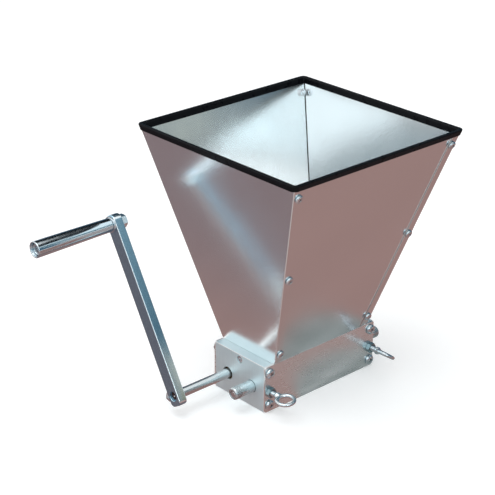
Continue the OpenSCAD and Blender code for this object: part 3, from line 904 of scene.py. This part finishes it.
# Hopper fixing screws. A zinc plated socket head screw through each end block into a nut behind the
# hopper's tab, deep in its recess. They are frame solids.
coat(zinc, "hopper_fixing_screws", "hopper_fixing_nuts")


# Rim trim. Black rubber edging with a round back, pushed down over the top of the sheets. It runs
# round the corners in one piece and leans with the panels.
trim_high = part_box("rim_trim")[1]
trim_w = 5 * mm
trim_h = 6.8 * mm
trim_corner = 6 * mm
trim_round = 1.7 * mm
trim_lip = 0.7 * mm
trim_slot = 1.9 * mm

rubber = Finish("black_rubber", metallic=0.0)
bloom = rubber.grain(9 * mm)
pimples = rubber.grain(0.5 * mm)
rubber.wear(
    rubber.blend(bloom, (0.002, 0.002, 0.003), (0.006, 0.007, 0.009)),
    0.22 + 0.14 * bloom,
    3e-6 * pimples,
)
rubber.shader.inputs["Specular IOR Level"].default_value = 0.09


def trim_loop(inward, z):
    """The line round the rim at a height, that far in from the trim's outside."""
    x = trim_high.x - (trim_high.z - z) * side_slope - inward
    y = trim_high.y - (trim_high.z - z) * front_slope - inward
    corners = oblong(-x, -y, x, y)
    radius = max(trim_corner - inward, 0.4 * mm)
    return [(p[0], p[1], z) for p in eased(corners, radius, steps=8)]


bottom, top = trim_high.z - trim_h, trim_high.z
slot_top = top - trim_h / 3
slot_near = (trim_w - trim_slot) / 2
slot_far = trim_w - slot_near
walls = [(0, bottom), (0, top), (trim_w, top), (trim_w, bottom),
         (slot_far, bottom), (slot_far, slot_top), (slot_near, slot_top), (slot_near, bottom)]
rounds = [trim_lip, trim_round, trim_round, trim_lip, trim_lip, 0.1 * mm, 0.1 * mm, trim_lip]
loops = []
for index, wall in enumerate(walls):
    near = [walls[index - 1], wall, walls[(index + 1) % len(walls)]]
    loops += [trim_loop(*p) for p in eased(near, rounds[index], steps=4, closed=False)[1:-1]]
bm = bmesh.new()
rings = [[bm.verts.new(p) for p in loop] for loop in loops]
for here, there in zip(rings, rings[1:] + rings[:1]):
    bridge(bm, here, there)
piece("rubber_rim_trim", [to_mesh(bm)], rubber, "rubber", "mill_body", "rim_trim", sharp=60)


# Crank arm. Drawn steel flat bar, 16.5 by 10 mm, with rounded ends and edges, drilled for the shaft
# and for the handle's bolt. Its rounded edges carry a painted highlight. One narrow side carries
# painted reflections: light along its lower part, an olive patch by the shaft and dark teal towards
# the handle. The broad face towards the hopper is painted lighter and less metallic, as painted light.
arm_low, arm_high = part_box("crank_arm")
bolt_low, bolt_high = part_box("handle_bolt")
handle_axis = (bolt_low + bolt_high) / 2
arm_w = 16.5 * mm
arm_low_end = 11 * mm
arm_high_end = 9.5 * mm
arm_corners = (5 * mm, 7 * mm)
arm_edge = 1.0 * mm
bolt_r = 4 * mm
hole_play = 0.02 * mm
olive_reflection_reach = (45 * mm, 5 * mm)
olive_reflection_x = (-152 * mm, -148 * mm)
teal_reflection_reach = (55 * mm, 100 * mm)
die_lines_across = 1200
die_lines_along = 18

drawn = Finish("drawn_steel_bar")
arm_way = Vector((0, handle_axis.y - drive_axis.y, handle_axis.z - drive_axis.z))
crank_r = arm_way.length
arm_way.normalize()
arm_shift = drive_axis.z * arm_way.y - drive_axis.y * arm_way.z
lengthwise = drawn.reach(tuple(arm_way))
widthwise = drawn.reach((0, -arm_way.z, arm_way.y))
depthwise = drawn.along(0)
die_place = drawn.node("CombineXYZ", {}, {
    0: die_lines_across * depthwise,
    1: die_lines_across * widthwise,
    2: die_lines_along * lengthwise,
})
die_lines = drawn.node("TexNoise", {}, {"Vector": die_place, "Scale": 1.0, "Detail": 3.0})
stain = drawn.grain(5 * mm)
# Painted reflections on the narrow side: light near the shaft, an olive patch by the shaft and dark
# teal towards the handle.
on_side = drawn.mask(widthwise, arm_shift + 0.49 * arm_w, arm_shift + 0.498 * arm_w)
off_middle = abs(widthwise - arm_shift)
# Painted highlight: the colour turns near white on the rounded edges of the bar.
painted_corner_highlight = drawn.mask(off_middle, arm_w / 2 - arm_edge, arm_w / 2 - 0.8 * arm_edge)
painted_olive_reflection = drawn.mask(lengthwise, *olive_reflection_reach) * (0.3 + 0.7 * drawn.mask(depthwise, *olive_reflection_x))
painted_teal_reflection = drawn.mask(lengthwise, *teal_reflection_reach)
side_tone = drawn.blend(painted_teal_reflection, (0.95, 0.97, 0.95), (0.23, 0.36, 0.44))
side_tone = drawn.blend(painted_olive_reflection, side_tone, (0.44, 0.41, 0.22))
mottle = drawn.blend(0.5 * die_lines + 0.5 * stain, (0.37, 0.54, 0.64), (0.50, 0.72, 0.85))
mottle = drawn.blend(painted_corner_highlight, mottle, (0.95, 0.97, 0.98))
# Painted light: the broad face towards the hopper is coloured near white and made less metallic.
on_inside = drawn.mask(depthwise, arm_high.x - 0.6 * mm, arm_high.x - 0.2 * mm)
drawn.feed(drawn.shader.inputs["Metallic"], 1 - 0.55 * on_inside)
drawn.wear(
    drawn.blend(on_inside, drawn.blend(on_side, mottle, side_tone), (0.93, 0.98, 1.0)),
    0.14 + 0.10 * die_lines + 0.06 * stain,
    2e-6 * die_lines,
)

bar = oblong(-arm_w / 2, -arm_low_end, arm_w / 2, crank_r + arm_high_end)
foot_end, grip_end = (eased(bar, radius, 6) for radius in arm_corners)
half = len(foot_end) // 2
arm_outline = foot_end[:half] + grip_end[half:]
arm_holes = [circle(0, 0, shaft_r + hole_play), circle(0, crank_r, bolt_r + hole_play)]
arm = slab([arm_outline] + arm_holes, -arm_high.x, -arm_low.x, arm_edge)
on_arm = seat((0, drive_axis.y, drive_axis.z), (-1, 0, 0), arm_way)
piece("drawn_crank_arm", [moved(arm, on_arm)], drawn, "crank_steel", "crank", "crank_arm")


# Clamp screw. An M6 hexagon head screw, zinc plated, that goes in from the back edge of the arm and
# presses on the shaft.
clamp_across = 10 * mm
clamp_t = 4 * mm
clamp_screw_r = 3 * mm
arm_mid_x = (arm_low.x + arm_high.x) / 2
arm_back = Vector((0, arm_way.z, -arm_way.y))
clamp_head = nut(clamp_across, clamp_t, 0, one_face=True)
clamp_shank = rod(clamp_screw_r, shaft_r - arm_w / 2 + hole_play, 0.5 * mm, 0.3 * mm)
clamp_spot = Vector((arm_mid_x, drive_axis.y, drive_axis.z)) + arm_back * arm_w / 2
clamp_place = seat(clamp_spot, arm_back, arm_way)
piece("zinc_clamp_screw", [moved(part, clamp_place) for part in (clamp_head, clamp_shank)],
      zinc, "zinc", "crank", "clamp_screw")


# Handle. A grip turned from steel bar to a slight taper and polished, hollow at its free end. It
# spins on an M8 socket head bolt, whose head sits in the hollow. A washer lies between the grip and
# the arm, and a nut holds the bolt behind the arm, with a turn of thread standing out.
grip_low, grip_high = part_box("handle_grip")
ring_low, ring_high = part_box("handle_washer")
nut_low, nut_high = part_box("handle_nut")
far_r = (grip_high.z - grip_low.z) / 2
near_r = 7.4 * mm
recess_r = 6.9 * mm
recess = 11 * mm
grip_bore = 4.05 * mm
grip_edge = 0.9 * mm
bolt_head_r = 6.5 * mm
bolt_head_h = 8 * mm
bolt_pitch = 1.25 * mm
socket_across = 6 * mm
socket_depth = 4 * mm
handle_nut_across = 13 * mm

polished = Finish("polished_turned_steel")
polish_lines = polished.grain(0.5 * mm, 60 * mm, 60 * mm)
touch = polished.grain(12 * mm)
polished.wear(
    polished.blend(touch, (0.62, 0.70, 0.75), (0.72, 0.80, 0.84)),
    0.06 + 0.07 * touch + 0.03 * polish_lines,
    6e-7 * polish_lines + 4e-5 * touch,
)

on_handle = seat((0, handle_axis.y, handle_axis.z), along_x)
recess_end = grip_low.x + recess
grip_outside = [(recess_r, recess_end), (recess_r, grip_low.x), (far_r, grip_low.x),
                (near_r, grip_high.x), (grip_bore, grip_high.x)]
grip_profile = eased(grip_outside, grip_edge, steps=4, closed=False) + [(grip_bore, recess_end)]
grip = turned([(p[0], p[1]) for p in grip_profile], 128)
piece("polished_grip", [moved(grip, on_handle)], polished, "grip_steel", "handle", "handle_grip")

head_back = bolt_low.x + bolt_head_h
socket = slab([hexagon(socket_across)], bolt_low.x - overlap, bolt_low.x + socket_depth, 0.05 * mm)
bolt_head = carved(rod(bolt_head_r, bolt_low.x, head_back, 0.6 * mm), socket)
bolt_shank = rod(bolt_r, head_back - 0.5 * mm, nut_low.x, 0.1 * mm)
bolt_thread = threaded(2 * bolt_r, bolt_pitch, nut_low.x - overlap, bolt_high.x)
bolt_parts = (bolt_head, bolt_shank, bolt_thread)
piece("handle_socket_bolt", [moved(part, on_handle) for part in bolt_parts],
      zinc, "zinc", "crank", "handle_bolt")

handle_nut = nut(handle_nut_across, nut_high.x - nut_low.x, 2 * bolt_r)
nut_place = seat((nut_low.x, handle_axis.y, handle_axis.z), along_x)
piece("zinc_handle_nut", [moved(handle_nut, nut_place)], zinc, "zinc", "crank", "handle_nut")

ring_r = (ring_high.z - ring_low.z) / 2
ring_bore = bolt_r + 0.05 * mm
washer = turned(eased(oblong(ring_bore, ring_low.x, ring_r, ring_high.x), 0.3 * mm))
piece("zinc_handle_washer", [moved(washer, on_handle)], zinc, "zinc", "crank", "handle_washer")


# Floor and bench. A pale floor that shows as plain white. The mill was photographed on a brown
# bench, which shows only as a reflection in its sheets, so a bench that nothing but a reflection
# can see lies just above the floor.
floor_half = 30
floor_z = -0.1 * mm
bench_half = 1.1
bench_z = 0.2 * mm


def sheet_of(name, corners, finish):
    """A flat four cornered surface that isn't part of the mill."""
    mesh = bpy.data.meshes.new(name)
    mesh.from_pydata(corners, [], [(0, 1, 2, 3)])
    mesh.materials.append(finish.material)
    made = placed(name, mesh)
    return made


def reflected(name, corners, finish):
    """A flat surface that only reflections can see."""
    made = sheet_of(name, corners, finish)
    for kind in ("camera", "diffuse", "transmission", "volume_scatter", "shadow"):
        setattr(made, f"visible_{kind}", False)


def glowing(name, colour, base=0.0):
    """A matt black or grey finish that glows in a colour or a grade of colours."""
    finish = Finish(name, metallic=0.0)
    sockets = finish.shader.inputs
    sockets["Base Color"].default_value = (base, base, base, 1)
    sockets["Roughness"].default_value = 0.9
    sockets["Specular IOR Level"].default_value = 0.0
    sockets["Emission Strength"].default_value = 1.0
    finish.feed(sockets["Emission Color"], colour(finish))
    return finish


def level_square(half, z):
    """The corners of a level square round the mill."""
    return [(x, y, z) for x, y in oblong(-half, -half, half, half)]


def floor_colour(finish):
    """A little light for the camera only, which lifts the floor to plain white."""
    camera_ray = finish.node("LightPath", {}, {}, "Is Camera Ray")
    return finish.blend(camera_ray, (0.0, 0.0, 0.0), (0.2, 0.2, 0.2))


pale = glowing("pale_floor", floor_colour, base=0.94)
sheet_of("floor", level_square(floor_half, floor_z), pale)


def bench_colour(finish):
    """Brown wood, painted dimmer to the left, with painted glare and a grey-green painted shade round
    the mill's foot.
    """
    x, y = finish.along(0), finish.along(1)
    patch = {0: finish.place, 1: (0.05, 0, 0)}
    from_patch = finish.node("VectorMath", {"operation": "DISTANCE"}, patch, "Value")
    streaks = finish.grain(0.25, 0.05, 1.0)
    lit = finish.blend(streaks, (0.29, 0.185, 0.173), (0.39, 0.25, 0.232))
    dim = finish.blend(streaks, (0.20, 0.155, 0.165), (0.27, 0.205, 0.215))
    wood = finish.blend(finish.mask(x, -0.24, -0.06), dim, lit)
    glare = (1 - finish.mask(x, -0.11, -0.085)) * (1 - finish.mask(y, -0.06, -0.03))
    wood = finish.blend(glare, wood, (0.50, 0.43, 0.42))
    # Painted shade: grey-green with light streaks within about 9 cm of a point beside the mill's foot.
    gleams = finish.mask(finish.grain(0.07, 0.014, 1.0), 0.35, 0.75)
    grey = finish.blend(gleams, (0.19, 0.225, 0.225), (0.37, 0.40, 0.405))
    return finish.blend(finish.mask(from_patch, 0.084, 0.098), grey, wood)


brown = glowing("brown_bench", bench_colour)
reflected("bench", level_square(bench_half, bench_z), brown)


# Walls. The room was dark to the right, with two bright strips, and had a blue-green lower part all
# round, below a window behind the camera. The walls too are seen in reflections only. The numbers of
# a mask on a coordinate are the places, in metres, where its soft edge starts and ends.
right, left, front, back_end = 0.9, -2.6, -2.4, 2.0
left_wall_end = 0.6
wall_foot, wall_top = 0.02, 2.0


def right_wall_colour(finish):
    """Dark above, with a bright strip at the front and one in the middle, and blue-green below."""
    y, z = finish.along(1), finish.along(2)
    front_strip = finish.between(z, 1.12, 1.22, 1.38, 1.50) * (1 - finish.mask(y, -0.95, -0.75))
    middle_strip = finish.between(z, 0.95, 1.05, 1.35, 1.5) * finish.between(y, -0.75, -0.6, 0.2, 0.35)
    lit = (1 - finish.mask(z, 0.78, 0.92)) * finish.between(y, -1.5, -1.38, -1.1, -0.9)
    low = finish.blend(lit, (0.07, 0.14, 0.20), (0.50, 0.54, 0.50))
    dark = finish.blend(finish.mask(z, 0.95, 1.05), low, (0.012, 0.016, 0.02))
    dark = finish.blend(middle_strip, dark, (1.05, 1.20, 1.28))
    return finish.blend(front_strip, dark, (0.75, 0.88, 0.95))


def left_wall_colour(finish):
    """Blue-green below and pale above."""
    x, z = finish.along(0), finish.along(2)
    pale_part = finish.blend(finish.mask(x, -2.4, -1.9), (1.15, 1.27, 1.32), (0.42, 0.50, 0.54))
    return finish.blend(finish.mask(z, 0.62, 0.85), (0.15, 0.28, 0.35), pale_part)


right_wall = [(right, y, z) for y, z in oblong(front, wall_foot, back_end, wall_top)]
left_wall = [(left, y, z) for y, z in oblong(front, wall_foot, left_wall_end, wall_top)]
front_wall = [(x, front, z) for x, z in oblong(left, wall_foot, right, wall_top)]
left_finish = glowing("pale_room", left_wall_colour)
reflected("right_wall", right_wall, glowing("dark_room", right_wall_colour))
reflected("left_wall", left_wall, left_finish)
reflected("front_wall", front_wall, left_finish)


# Light. A white sky, a little weaker as light than as seen, and two soft lamps: the window in front
# and a lamp overhead.
light_share = 0.85
mill_middle = Vector((0, 0, 0.12))

world = bpy.data.worlds.new("sky")
bpy.context.scene.world = world
world.use_nodes = True
sky = Graph(world.node_tree)
background = sky.tree.nodes["Background"].inputs
background["Color"].default_value = (1, 1, 1, 1)
seen = 0.0
for kind in ("Camera", "Glossy", "Transmission"):
    rays = sky.node("LightPath", {}, {}, f"Is {kind} Ray")
    seen = rays.maths("MAXIMUM", seen, rays)
sky.feed(background["Strength"], light_share + (1 - light_share) * seen)


def lamp(name, place, size, power, colour):
    """A soft square lamp that points at the mill."""
    light = bpy.data.lights.new(name, "AREA")
    light.size, light.energy, light.color = size, power, colour
    made = placed(name, light)
    made.location = place
    made.rotation_euler = (mill_middle - Vector(place)).to_track_quat("-Z", "Y").to_euler()


lamp("window", (-0.70, -2.0, 0.95), size=0.8, power=5, colour=(0.80, 0.96, 1.0))
lamp("overhead_lamp", (-0.5, 0.1, 1.8), size=1.2, power=10, colour=(0.90, 0.97, 1.0))


# Camera. Its place, direction, lens and shift were fitted to corners, edges and holes seen in the
# photograph. The picture has no tone curve.
azimuth, elevation = math.radians(-41.457), math.radians(24.962)
level_part = math.cos(elevation)
back = Vector((math.sin(azimuth) * level_part, -math.cos(azimuth) * level_part, math.sin(elevation)))

camera_data = bpy.data.cameras.new("photograph")
camera_data.lens = 109.49
camera_data.sensor_width = 36
camera_data.shift_x = 0.0426
camera_data.shift_y = 0.0261
camera_data.clip_end = 50
camera = placed("photograph", camera_data)
camera.location = (-0.999287, -1.020171, 0.799747)
camera.rotation_euler = (-back).to_track_quat("-Z", "Y").to_euler()
bpy.context.scene.camera = camera
bpy.context.scene.view_settings.view_transform = "Standard"
